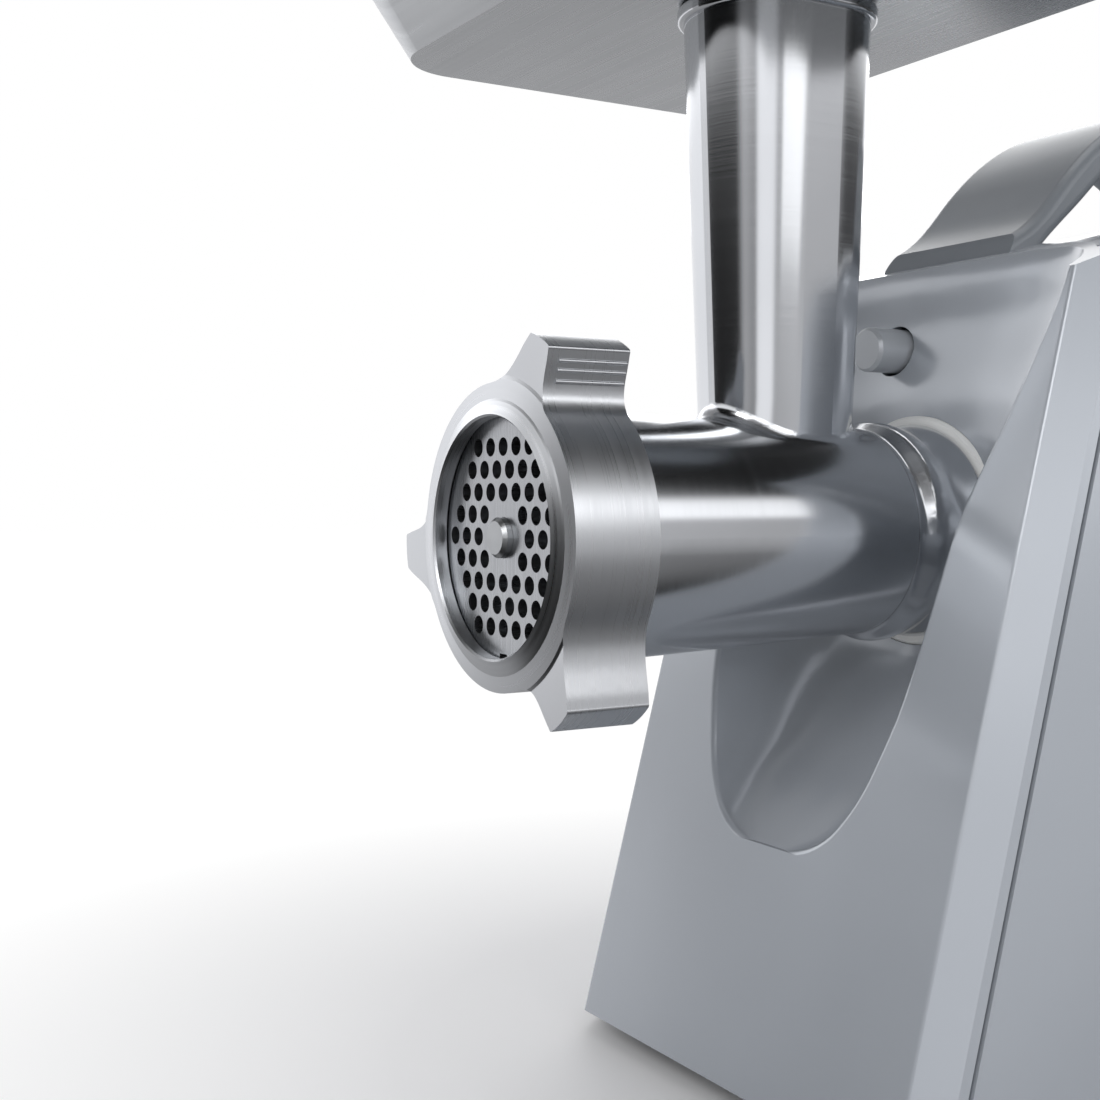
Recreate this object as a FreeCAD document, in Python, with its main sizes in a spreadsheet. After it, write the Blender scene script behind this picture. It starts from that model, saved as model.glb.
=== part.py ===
import FreeCAD, Part
import math
import os
from FreeCAD import Vector, Placement, Rotation

# Electric meat grinder: a tower housing with a motor and a two stage spur gear train, and a
# cast head (barrel with feed tube) that plugs into a scooped recess in the housing's front.
# Construction frame: the barrel's axis is the line x = 0, z = 0 along Y, and y = 0 is the plane
# of the ring nut's front face.  offy and offz move the model so that the origin is the bottom centre.

doc = FreeCAD.newDocument("meat_grinder")
sheet = doc.addObject("Spreadsheet::Sheet", "dims")

DIMS = [
    # name, value (mm or degrees), note
    ("offy", -150.05, "shift along Y to the bounding box centre"),
    ("offz", 152.0, "barrel axis height above the table"),
    ("nut_rim", 37.2, "ring nut outside radius between the lobes"),
    ("nut_tip", 50.3, "ring nut lobe tip radius"),
    ("nut_len", 22.0, "ring nut depth"),
    ("nut_open", 29.0, "ring nut front opening radius"),
    ("nut_bore", 34.2, "ring nut bore radius over the thread"),
    ("nut_lip", 2.4, "height of the domed lip in front of the rim"),
    ("nut_phase", 24.3, "first lobe clockwise from the top"),
    ("plate_rad", 31.0, "perforated plate radius"),
    ("plate_thk", 5.0, "perforated plate thickness"),
    ("plate_hole", 2.25, "perforation radius"),
    ("plate_pitch", 6.3, "perforation spacing"),
    ("plate_bore", 4.98, "plate centre bearing radius"),
    ("thread_rad", 33.9, "barrel thread crest radius"),
    ("barrel_front", 31.5, "barrel outside radius behind the nut"),
    ("barrel_back", 28.2, "barrel outside radius before the collar"),
    ("barrel_bore", 25.2, "barrel bore radius"),
    ("collar_rad", 30.4, "collar ridge radius"),
    ("collar_pos", 116.0, "collar ridge position"),
    ("barrel_end", 134.0, "where the barrel enters the socket"),
    ("spigot_rad", 28.0, "spigot radius inside the socket"),
    ("spigot_end", 150.0, "back end of the spigot"),
    ("tube_pos", 84.8, "feed tube centre"),
    ("tube_halfx", 16.5, "feed tube half width at the barrel"),
    ("tube_halfy", 20.6, "feed tube half length at the barrel"),
    ("tube_flare", 0.0400, "feed tube widening per mm of height, each side"),
    ("tube_top", 138.0, "feed tube top above the barrel axis"),
    ("tube_wall", 2.6, "feed tube wall"),
    ("auger_rad", 24.7, "auger flight radius"),
    ("auger_core", 9.0, "auger core radius"),
    ("auger_pitch", 31.0, "auger flight pitch"),
    ("knife_rad", 25.6, "knife arm radius"),
    ("square_af", 11.0, "square drive across flats"),
    ("housing_bottom", -146.0, "bottom edge of the shells"),
    ("front_slope", 0.27, "front face run per mm of height"),
    ("front_pos", 105.4, "front face position at the barrel axis height"),
    ("face_half", 66.0, "half width of the front face"),
    ("side_half", 87.0, "largest half width of the housing"),
    ("back_pos", 300.0, "back of the housing at its foot"),
    ("wall", 2.6, "housing wall thickness"),
    ("seam", 10.4, "seam behind the front face"),
    ("groove", 1.1, "width of the groove along the seam"),
    ("socket_rad", 32.5, "socket ring outside radius"),
    ("button_rad", 6.4, "release button radius"),
    ("button_x", -12.4, "release button position across"),
    ("button_z", 52.0, "release button height above the barrel axis"),
    ("button_tip", 128.0, "release button front end"),
    ("handle_w", 49.0, "carry handle width"),
    ("handle_t", 9.0, "carry handle thickness"),
    ("foot_rad", 9.0, "rubber foot radius"),
    ("gear_m1", 0.8, "first stage module"),
    ("gear_m2", 1.25, "second stage module"),
    ("motor_rad", 37.0, "motor stack radius"),
    ("motor_y0", 196.0, "front of the motor stack"),
    ("motor_len", 42.0, "motor stack length"),
    ("tray_x", 116.0, "tray half width"),
    ("tray_y", 80.0, "tray half length"),
    ("tray_depth", 26.0, "tray depth"),
    ("switch_y", 205.0, "control panel centre along Y"),
    ("switch_z", -6.0, "control panel centre above the barrel axis"),
]
row = 1
VAL = {}
for name, value, note in DIMS:
    sheet.set("A%d" % row, name)
    sheet.set("B%d" % row, "%.6g" % value)
    sheet.set("C%d" % row, note)
    sheet.setAlias("B%d" % row, name)
    VAL[name] = value
    row += 1
doc.recompute()


def v(name):
    return float(sheet.get(name))


OY, OZ = v("offy"), v("offz")
NODES = {}


def bind(obj, prop, expr):
    """Sets a property to a number, or binds it to an expression over the sheet."""
    if isinstance(expr, (int, float)):
        parts = prop.split(".")
        if len(parts) == 1:
            setattr(obj, prop, float(expr))
        else:
            obj.setExpression(prop, "%.6f" % expr)
    else:
        obj.setExpression(prop, expr)


def txt(e):
    return "%.6f" % e if isinstance(e, (int, float)) else "(%s)" % e


def place(obj, pos, axis="z", spin=None):
    rot = {"z": Rotation(), "y": Rotation(Vector(1, 0, 0), -90), "x": Rotation(Vector(0, 1, 0), 90), "-x": Rotation(Vector(0, 1, 0), -90)}[axis]
    if spin is not None:
        rot = spin
    obj.Placement = Placement(Vector(0, 0, 0), rot)
    obj.setExpression("Placement.Base.x", txt(pos[0]))
    obj.setExpression("Placement.Base.y", "%s + dims.offy" % txt(pos[1]))
    obj.setExpression("Placement.Base.z", "%s + dims.offz" % txt(pos[2]))


count = [0]


def nid(p):
    count[0] += 1
    return "%s%03d" % (p, count[0])


def cyl(r, h, pos, axis="y"):
    o = doc.addObject("Part::Cylinder", nid("Cyl"))
    bind(o, "Radius", r)
    bind(o, "Height", h)
    place(o, pos, axis)
    return o


def cone(r1, r2, h, pos, axis="y"):
    o = doc.addObject("Part::Cone", nid("Cone"))
    bind(o, "Radius1", r1)
    bind(o, "Radius2", r2)
    bind(o, "Height", h)
    place(o, pos, axis)
    return o


def box(lx, ly, lz, pos, centred="x"):
    """A box from its low corner pos; the letters in centred name directions centred on pos."""
    o = doc.addObject("Part::Box", nid("Box"))
    bind(o, "Length", lx)
    bind(o, "Width", ly)
    bind(o, "Height", lz)
    p = list(pos)
    for k, (c, size) in enumerate((("x", lx), ("y", ly), ("z", lz))):
        if c in centred:
            p[k] = "%s - %s / 2" % (txt(p[k]), txt(size))
    place(o, p, "z")
    return o


def fuse(*objs):
    if len(objs) == 1:
        return objs[0]
    o = doc.addObject("Part::MultiFuse", nid("Fuse"))
    o.Shapes = list(objs)
    return o


def cut(base, *tools):
    o = doc.addObject("Part::Cut", nid("Cut"))
    o.Base = base
    o.Tool = fuse(*tools)
    return o


def common(a, b):
    o = doc.addObject("Part::Common", nid("Common"))
    o.Base = a
    o.Tool = b
    return o


def free(shape):
    """A piece whose surface needs Part's own functions, built in the construction frame."""
    o = doc.addObject("Part::Feature", nid("Free"))
    o.Shape = shape
    o.Placement = Placement(Vector(0, OY, OZ), Rotation()).multiply(shape.Placement)
    return o


def node(name, obj):
    obj.Label = name
    NODES[name] = obj
    return obj


def turned(name, pts, pos=("0", 0, 0), axis="y"):
    """A turned piece: a PartDesign body whose closed section (radius, along) is revolved.  Every
    corner of the section is held by two dimensions that are bound to the sheet."""
    body = doc.addObject("PartDesign::Body", nid("Body"))
    sk = body.newObject("Sketcher::SketchObject", nid("Sketch"))
    plane = [f for f in body.Origin.OriginFeatures if f.Role == "XZ_Plane"][0]
    sk.AttachmentSupport = (plane, [""])
    sk.MapMode = "FlatFace"
    import Sketcher

    num = []
    for r, a in pts:
        num.append((number_of(r), number_of(a)))
    n = len(num)
    for i in range(n):
        p, q = num[i], num[(i + 1) % n]
        sk.addGeometry(Part.LineSegment(Vector(p[0], p[1], 0), Vector(q[0], q[1], 0)), False)
    for i in range(n):
        sk.addConstraint(Sketcher.Constraint("Coincident", i, 2, (i + 1) % n, 1))
    for i, (r, a) in enumerate(pts):
        for kind, e, val in (("DistanceX", r, num[i][0]), ("DistanceY", a, num[i][1])):
            if abs(val) < 1e-9:
                if kind == "DistanceX":
                    sk.addConstraint(Sketcher.Constraint("PointOnObject", i, 1, -2))
                else:
                    sk.addConstraint(Sketcher.Constraint("PointOnObject", i, 1, -1))
                continue
            k = sk.addConstraint(Sketcher.Constraint(kind, -1, 1, i, 1, val))
            if isinstance(e, str):
                sk.setExpression("Constraints[%d]" % k, e)
    rev = body.newObject("PartDesign::Revolution", nid("Rev"))
    rev.Profile = sk
    rev.ReferenceAxis = (sk, ["V_Axis"])
    rev.Angle = 360.0
    place(body, pos, axis)
    body.Tip = rev
    return body


def number_of(e):
    if isinstance(e, (int, float)):
        return float(e)
    return float(formula_value(e))


def formula_value(e):
    tmp = sheet
    tmp.set("D1", "=" + e.replace("dims.", ""))
    tmp.recompute()
    return float(tmp.get("D1"))


def prism_y(wire_pts_edges, y0, y1):
    w = Part.Wire(wire_pts_edges)
    f = Part.Face(w)
    return f.extrude(Vector(0, y1 - y0, 0))


def spline(points, t0=None, t1=None):
    c = Part.BSplineCurve()
    kw = {}
    if t0 is not None:
        c.interpolate(Points=points, InitialTangent=t0, FinalTangent=t1)
    else:
        c.interpolate(Points=points)
    return c.toShape()


# ------------------------------------------------------------------ ring nut
def polar_point(angle_deg, radius, y):
    a = math.radians(angle_deg)
    return Vector(radius * math.sin(a), y, radius * math.cos(a))


def nut_outline(y, grow=0.0):
    """Three wing lobes: a long easy flank on the counter-clockwise side, a steep one on the other."""
    ro, rt, ph = v("nut_rim") + grow, v("nut_tip") + grow, v("nut_phase")
    h = rt - ro
    edges = []
    for k in range(3):
        c = ph + 120 * k
        easy = [(-26.5, 0.0), (-22.0, 0.030), (-18.0, 0.115), (-14.0, 0.275), (-10.0, 0.545), (-7.2, 0.80), (-5.4, 0.955)]
        steep = [(5.4, 0.945), (6.2, 0.745), (7.1, 0.50), (8.4, 0.28), (10.4, 0.125), (13.2, 0.035), (16.5, 0.0)]
        pe = [polar_point(c + d, ro + h * s, y) for d, s in easy]
        ps = [polar_point(c + d, ro + h * s, y) for d, s in steep]
        tang_e = polar_point(c + easy[0][0] + 90, 1, 0)
        tang_s = polar_point(c + steep[-1][0] + 90, 1, 0)
        last_e = (pe[-1] - pe[-2]).normalize()
        first_s = (ps[1] - ps[0]).normalize()
        edges.append(spline(pe, tang_e, last_e))
        tip0, tip1 = polar_point(c - 4.35, rt, y), polar_point(c + 4.75, rt, y)
        tipm = polar_point(c + 0.2, rt + 0.15, y)
        edges.append(Part.Arc(pe[-1], polar_point(c - 5.0, rt - 0.18, y), tip0).toShape())
        edges.append(Part.Arc(tip0, tipm, tip1).toShape())
        edges.append(Part.Arc(tip1, polar_point(c + 5.2, rt - 0.22, y), ps[0]).toShape())
        edges.append(spline(ps, first_s, tang_s))
        nxt = polar_point(ph + 120 * (k + 1) - 26.5, ro, y)
        mid = polar_point((c + 16.5 + ph + 120 * (k + 1) - 26.5) / 2, ro, y)
        edges.append(Part.Arc(ps[-1], mid, nxt).toShape())
    return edges


def make_nut():
    prism = prism_y(nut_outline(-4.0), -4.0, v("nut_len"))
    lip, ro, ri = v("nut_lip"), v("nut_rim"), v("nut_open")
    L = v("nut_len")
    # turned blank: domed lip, flat lobe faces, chamfered back
    pts = [(ri, -lip + 0.5), (ri + 0.5, -lip), (ri + 3.6, -lip * 0.5), (ri + 4.2, -lip * 0.38), (ro + 0.8, -0.35), (ro + 1.6, 0.0), (52.5, 0.0), (52.5, L), (v("nut_bore") + 0.8, L), (v("nut_bore"), L - 0.8), (v("nut_bore"), 1.7), (ri + 0.5, 1.7), (ri, 1.2)]
    ps = [Vector(r, a, 0) for r, a in pts]
    blank = Part.Face(Part.makePolygon(ps + [ps[0]])).revolve(Vector(0, 0, 0), Vector(0, 1, 0), 360)
    nut = prism.common(blank)
    # three grip ribs on each steep flank
    ribs = []
    for k in range(3):
        c = v("nut_phase") + 120 * k
        for d, s in ((6.15, 0.76), (6.75, 0.59), (7.65, 0.40)):
            p0 = polar_point(c + d, v("nut_rim") + (v("nut_tip") - v("nut_rim")) * s, 3.0)
            ribs.append(Part.makeCylinder(0.55, L - 3.6, p0, Vector(0, 1, 0)))
    for r in ribs:
        nut = nut.fuse(r)
    nut = nut.removeSplitter()
    return nut


node("ring_nut", free(make_nut()))


# ------------------------------------------------------------------ perforated plate
def make_plate():
    R, T = v("plate_rad"), v("plate_thk")
    y0 = 1.9
    plate = Part.makeCylinder(R, T, Vector(0, y0, 0), Vector(0, 1, 0))
    holes = [Part.makeCylinder(v("plate_bore"), T + 2, Vector(0, y0 - 1, 0), Vector(0, 1, 0))]
    p = v("plate_pitch")
    for i in range(-6, 7):
        for j in range(-6, 7):
            x, z = p * (i + 0.5 * (j % 2)), p * j * math.sqrt(3) / 2
            rr = math.hypot(x, z)
            if 9.3 < rr < 25.9:
                holes.append(Part.makeCylinder(v("plate_hole"), T + 2, Vector(x, y0 - 1, z), Vector(0, 1, 0)))
    holes.append(Part.makeBox(3.6, T + 2, 4.0, Vector(-1.8, y0 - 1, -R - 1.0)))
    return plate.cut(Part.makeCompound(holes))


node("perforated_plate", free(make_plate()))


# ------------------------------------------------------------------ barrel with feed tube
def rr_wire(a, b, rc, cy, z, n=None):
    """Rounded rectangle, half sizes a (x) and b (y), centred on (0, cy), in the plane z."""
    e = []
    P = lambda x, y: Vector(x, cy + y, z)
    s = math.sqrt(0.5)
    e.append(Part.LineSegment(P(-a + rc, -b), P(a - rc, -b)).toShape())
    e.append(Part.Arc(P(a - rc, -b), P(a - rc + rc * s, -b + rc - rc * s), P(a, -b + rc)).toShape())
    e.append(Part.LineSegment(P(a, -b + rc), P(a, b - rc)).toShape())
    e.append(Part.Arc(P(a, b - rc), P(a - rc + rc * s, b - rc + rc * s), P(a - rc, b)).toShape())
    e.append(Part.LineSegment(P(a - rc, b), P(-a + rc, b)).toShape())
    e.append(Part.Arc(P(-a + rc, b), P(-a + rc - rc * s, b - rc + rc * s), P(-a, b - rc)).toShape())
    e.append(Part.LineSegment(P(-a, b - rc), P(-a, -b + rc)).toShape())
    e.append(Part.Arc(P(-a, -b + rc), P(-a + rc - rc * s, -b + rc - rc * s), P(-a + rc, -b)).toShape())
    return Part.Wire(e)


def tube_section(z, inset=0.0):
    k = v("tube_flare") * (z - 25.0)
    return v("tube_halfx") + k - inset, v("tube_halfy") + k - inset, 15.2 + k - inset


def tube_loft(z0, z1, inset=0.0):
    w = []
    for z in (z0, z1):
        a, b, rc = tube_section(z, inset)
        w.append(rr_wire(a, b, min(rc, a - 0.5), v("tube_pos"), z))
    return Part.makeLoft(w, True, True)


def revolve_y(pts):
    ps = [Vector(r, a, 0) for r, a in pts]
    return Part.Face(Part.makePolygon(ps + [ps[0]])).revolve(Vector(0, 0, 0), Vector(0, 1, 0), 360)


def make_barrel():
    tr, bf, bb, cr, cp = v("thread_rad"), v("barrel_front"), v("barrel_back"), v("collar_rad"), v("collar_pos")
    be, sr, se = v("barrel_end"), v("spigot_rad"), v("spigot_end")
    outer_pts = [(0, 3.0), (tr - 0.8, 3.0), (tr, 3.8), (tr, 20.6), (tr - 1.0, 21.6), (bf, 21.6), (bb, cp - 6.0)]
    # outline of the collar as a smooth curve, then the spigot
    e = []
    P = lambda r, a: Vector(r, a, 0)
    for p, q in zip(outer_pts[:-1], outer_pts[1:]):
        e.append(Part.LineSegment(P(*p), P(*q)).toShape())
    e.append(spline([P(bb, cp - 6.0), P(bb + 0.35, cp - 3.0), P(cr, cp), P(cr + 0.1, cp + 1.6), P(bb + 1.3, cp + 6.0), P(bb + 1.1, cp + 11.0), P(bb + 1.9, be - 0.8)]))
    tail = [(bb + 1.9, be - 0.8), (bb + 1.5, be), (sr, be), (sr, se - 1.0), (sr - 1.0, se), (0, se), (0, 3.0)]
    for p, q in zip(tail[:-1], tail[1:]):
        e.append(Part.LineSegment(P(*p), P(*q)).toShape())
    outer = Part.Face(Part.Wire(e)).revolve(Vector(0, 0, 0), Vector(0, 1, 0), 360)
    outer = Part.Solid(outer.Shells[0]) if outer.ShapeType != "Solid" else outer
    tube = tube_loft(12.0, v("tube_top"))
    body = outer.fuse(tube).removeSplitter()
    # blend where tube meets barrel
    picked = []
    for ed in body.Edges:
        bb_ = ed.BoundBox
        if bb_.ZMin > 18 and bb_.ZMax < 32 and bb_.YMin > 55 and bb_.YMax < 112 and abs(bb_.Center.x) < 17.2:
            picked.append(ed)
    for r in (4.0, 3.0, 2.0):
        try:
            t = body.makeFillet(r, picked)
            if t.isValid() and t.Volume > body.Volume * 0.9:
                body = t
                print("tube blend", r, len(picked))
                break
        except Exception as ex:
            print("tube blend failed", r, ex)
    # bead round the tube's top
    zt = v("tube_top")
    a, b, rc = tube_section(zt)
    bead = Part.makeLoft([rr_wire(a + 1.6, b + 1.6, rc + 1.6, v("tube_pos"), zt - 4.0), rr_wire(a + 1.6, b + 1.6, rc + 1.6, v("tube_pos"), zt)], True, True)
    try:
        bead = bead.makeFillet(1.2, [e for e in bead.Edges if e.BoundBox.ZLength < 0.01])
    except Exception as ex:
        print("bead", ex)
    body = body.fuse(bead)
    # inside: plate pocket, knife pocket, auger bore, back web with the journal hole, driver room
    bore = v("barrel_bore")
    inner = revolve_y([(0, 2.0), (v("plate_rad") + 0.08, 2.0), (v("plate_rad") + 0.08, 7.0), (28.0, 7.0), (28.0, 13.0), (bore, 15.5), (bore, 127.0), (8.98, 127.0), (8.98, 133.0), (24.0, 133.0), (24.0, 152.0), (0, 152.0)])
    body = body.cut(inner)
    body = body.cut(tube_loft(2.0, zt + 2.0, v("tube_wall")))
    pin = Part.makeCylinder(1.6, 10.0, Vector(0, 5.0, -36.0), Vector(0, 0, 1))
    body = body.cut(pin)
    return body.removeSplitter()


node("grinder_head", free(make_barrel()))
node("plate_key_pin", cyl(1.6, 4.6, (0, 5.0, -33.6), "z"))


# ------------------------------------------------------------------ auger
def make_auger():
    ar, ac, pitch, af = v("auger_rad"), v("auger_core"), v("auger_pitch"), v("square_af")
    y0, y1 = 17.0, 121.0
    tip, root = 24.0, 40.0

    def P(r, deg):
        t = math.radians(deg)
        return Vector(r * math.cos(t), r * math.sin(t), 0)

    # cross section: core circle with one lobe, twisted along the axis at the flight's pitch
    section = Part.Wire([
        Part.Arc(P(ar, -tip), P(ar, 0), P(ar, tip)).toShape(),
        spline([P(ar, tip), P(17, tip + 6), P(11, root), P(ac, root + 16)]),
        Part.Arc(P(ac, root + 16), P(ac, 180), P(ac, -root - 16)).toShape(),
        spline([P(ac, -root - 16), P(11, -root), P(17, -tip - 6), P(ar, -tip)]),
    ])
    spine = Part.Wire(Part.LineSegment(Vector(0, 0, 0), Vector(0, 0, y1 - y0)).toShape())
    pipe = Part.BRepOffsetAPI.MakePipeShell(spine)
    pipe.setAuxiliarySpine(Part.Wire(Part.makeHelix(pitch, y1 - y0, ar)), True, 0)
    pipe.add(section, False, False)
    pipe.build()
    pipe.makeSolid()
    screw = pipe.shape()
    screw.rotate(Vector(0, 0, 0), Vector(1, 0, 0), -90)
    screw.translate(Vector(0, y0, 0))
    nose = revolve_y([(0, -0.5), (4.0, -0.5), (4.9, 0.4), (4.9, 12.2), (7.2, 12.2), (12.0, 15.0), (12.0, y0), (0, y0)])
    nose = nose.fuse(Part.makeBox(af, 5.4, af, Vector(-af / 2, 7.0, -af / 2)))
    tail = revolve_y([(0, y1), (13.0, y1), (13.0, 126.4), (8.9, 126.4), (8.9, 136.0), (0, 136.0)])
    tail = tail.cut(Part.makeCylinder(3.0, 20.0, Vector(0, 128.0, 0), Vector(0, 1, 0)))
    return screw.fuse(nose).fuse(tail)


node("auger", free(make_auger()))


def make_knife():
    k, s = v("knife_rad"), v("square_af") + 0.2
    y0, t = 7.05, 4.9
    hub = Part.makeCylinder(11.0, t, Vector(0, y0, 0), Vector(0, 1, 0))
    arms = []
    for i in range(4):
        # one arm: a tapered blade with a ground back
        pts = [Vector(0, y0, -4.0), Vector(k - 1.5, y0, -2.2), Vector(k, y0, 1.6), Vector(k - 0.5, y0, 4.4), Vector(0, y0, 6.0)]
        f = Part.Face(Part.makePolygon(pts + [pts[0]]))
        arm = f.extrude(Vector(0, t, 0))
        bev = Part.Face(Part.makePolygon([Vector(9, y0 + 1.2, -6.0), Vector(9, y0 + t + 1, -6.0), Vector(9, y0 + t + 1, 1.5), Vector(9, y0 + 1.2, -6.0)])).extrude(Vector(30, 0, 0))
        arm = arm.cut(bev)
        arm.rotate(Vector(0, 0, 0), Vector(0, 1, 0), 90 * i)
        arms.append(arm)
    knife = hub
    for a in arms:
        knife = knife.fuse(a)
    knife = knife.cut(Part.makeBox(s, t + 2, s, Vector(-s / 2, y0 - 1, -s / 2)))
    return knife.removeSplitter()


node("cutting_knife", free(make_knife()))


def sector(r0, r1, a0, a1, y0, y1):
    """A ring sector about the barrel axis, between two angles in degrees from the top."""
    P = lambda r, a: polar_point(a, r, y0)
    m = (a0 + a1) / 2.0
    w = Part.Wire([Part.Arc(P(r0, a0), P(r0, m), P(r0, a1)).toShape(), Part.LineSegment(P(r0, a1), P(r1, a1)).toShape(), Part.Arc(P(r1, a1), P(r1, m), P(r1, a0)).toShape(), Part.LineSegment(P(r1, a0), P(r0, a0)).toShape()])
    return Part.Face(w).extrude(Vector(0, y1 - y0, 0))


# plastic driver screwed to the auger's tail, with two dogs; the output shaft has two more
driver = revolve_y([(3.2, 136.2), (16.0, 136.2), (17.0, 137.2), (17.0, 141.0), (3.2, 141.0)])
for k in range(2):
    driver = driver.fuse(sector(8.5, 17.0, 180 * k - 44, 180 * k + 44, 140.5, 149.0))
node("auger_driver", free(driver.removeSplitter()))
screw = revolve_y([(0, 128.0), (3.0, 128.0), (3.0, 141.2), (6.2, 141.2), (6.2, 143.4), (5.4, 144.4), (0, 144.4)])
hexsock = Part.Face(Part.makePolygon([polar_point(60 * k, 2.6, 142.2) for k in range(7)])).extrude(Vector(0, 4, 0))
screw = screw.cut(hexsock)
node("driver_screw", free(screw))
node("thrust_washer", cut(cyl(14.0, 0.5, (0, 126.45, 0)), cyl(8.95, 3.0, (0, 125.0, 0))))



# ------------------------------------------------------------------ tray and pusher
def rr_solid(a, b, rc, cy, z0, z1, a2=None, b2=None, rc2=None):
    return Part.makeLoft([rr_wire(a, b, rc, cy, z0), rr_wire(a2 or a, b2 or b, rc2 or rc, cy, z1)], True, True)


def make_tray():
    zt, tp = v("tube_top") + 0.4, v("tube_pos")
    a, b, rc = tube_section(zt)
    w = v("tube_wall")
    X, Y, D = v("tray_x"), v("tray_y"), v("tray_depth")
    dish = rr_solid(X - 14, Y - 14, 20, tp, zt, zt + D, X, Y, 28)
    room = rr_solid(X - 16, Y - 16, 18, tp, zt + 2.0, zt + D + 0.1, X - 1.9, Y - 1.9, 26.5)
    a9, b9, rc9 = tube_section(zt - 12, w + 0.4)
    neck = rr_solid(a9, b9, rc9, tp, zt - 12, zt + 1)
    rim = rr_solid(X, Y, 28, tp, zt + D - 2, zt + D).cut(rr_solid(X - 4, Y - 4, 25, tp, zt + D - 3, zt + D + 1))
    t = dish.cut(room).fuse(neck).fuse(rim)
    t = t.cut(rr_solid(a9 - 1.5, b9 - 1.5, rc9 - 1.5, tp, zt - 14, zt + 4))
    return t.removeSplitter()


node("filling_tray", free(make_tray()))


def make_pusher():
    zt, tp = v("tube_top") + 0.4, v("tube_pos")
    a9, b9, rc9 = tube_section(zt - 12, v("tube_wall") + 0.4)
    a, b, rc = 10.4, 14.5, 8.0
    stem = rr_solid(a, b, rc, tp, 40.0, zt + 4)
    top = rr_solid(a9 + 4, b9 + 4, rc9 + 2, tp, zt + 2.4, zt + 6.0)
    grip = rr_solid(a + 2, b + 2, rc + 1, tp, zt + 5.5, zt + 44.0, a + 4, b + 4, rc + 2)
    body = stem.fuse(top).fuse(grip)
    hollow = rr_solid(a - 2.2, b - 2.2, rc - 2.2, tp, 42.5, zt + 45)
    return body.cut(hollow).removeSplitter()


node("food_pusher", free(make_pusher()))
zt = v("tube_top") + 0.4
cap = rr_solid(17.4, 21.5, 13.0, v("tube_pos"), zt + 44.0, zt + 50.0, 15.0, 19.0, 11.0).fuse(rr_solid(8.0, 12.1, 5.6, v("tube_pos"), zt + 36.0, zt + 44.5))
node("pusher_cap", free(cap.removeSplitter()))


# ------------------------------------------------------------------ housing
def front_y(z):
    return v("front_pos") + v("front_slope") * z


def level(z, inset, pull=0.0):
    """Closed horizontal section of the housing: flat front, bevelled corners, bowed sides and back."""
    yf = front_y(z) + inset
    fh, sh = v("face_half") - inset * 0.4, v("side_half") - inset - pull
    up = (z - v("housing_bottom")) / 240.0
    yb = v("back_pos") - inset - 9.0 * up * up
    P = lambda x, y: Vector(x, y, z)
    k = 1.0 - 0.04 * up
    bx, by = fh + 7.6, yf + 8.2
    side = [(bx, by), (bx + (sh * k - bx) * 0.62, by + 24), (sh * k, by + 78), (sh * k - 2.5, yb - 62), (sh * k - 17, yb - 24), (sh * k - 44, yb - 5), (0, yb)]
    pts = side + [(-x, y) for x, y in reversed(side[:-1])]
    spl = spline([P(x, y) for x, y in pts])
    return Part.Wire([Part.LineSegment(P(-fh, yf), P(fh, yf)).toShape(), Part.LineSegment(P(fh, yf), P(bx, by)).toShape(), spl, Part.LineSegment(P(-bx, by), P(-fh, yf)).toShape()])


def roof(inset):
    pts = [(60, 47.5), (104, 58.0), (123.5, 66), (133, 70.6), (143, 75.2), (157, 79.4), (178, 82), (205, 82), (238, 77.5), (266, 65), (286, 44), (298, 8)]
    sp = spline([Vector(-120, y, z - inset) for y, z in pts])
    a, b = pts[0], pts[-1]
    lo = v("housing_bottom") - 5
    w = Part.Wire([sp, Part.LineSegment(Vector(-120, b[0], b[1] - inset), Vector(-120, 330, lo)).toShape(), Part.LineSegment(Vector(-120, 330, lo), Vector(-120, a[0] - 40, lo)).toShape(), Part.LineSegment(Vector(-120, a[0] - 40, lo), Vector(-120, a[0], a[1] - inset)).toShape()])
    return Part.Face(w).extrude(Vector(240, 0, 0))


def housing(inset):
    lo = v("housing_bottom") - (0.0 if inset == 0 else 1.0)
    lv = [(lo, 0.0), (-85.0, 0.0), (-25.0, 0.0), (35.0, 0.8), (92.0, 4.0)]
    loft = Part.makeLoft([level(z, inset, p) for z, p in lv], True, False)
    return loft.common(roof(inset))


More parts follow.
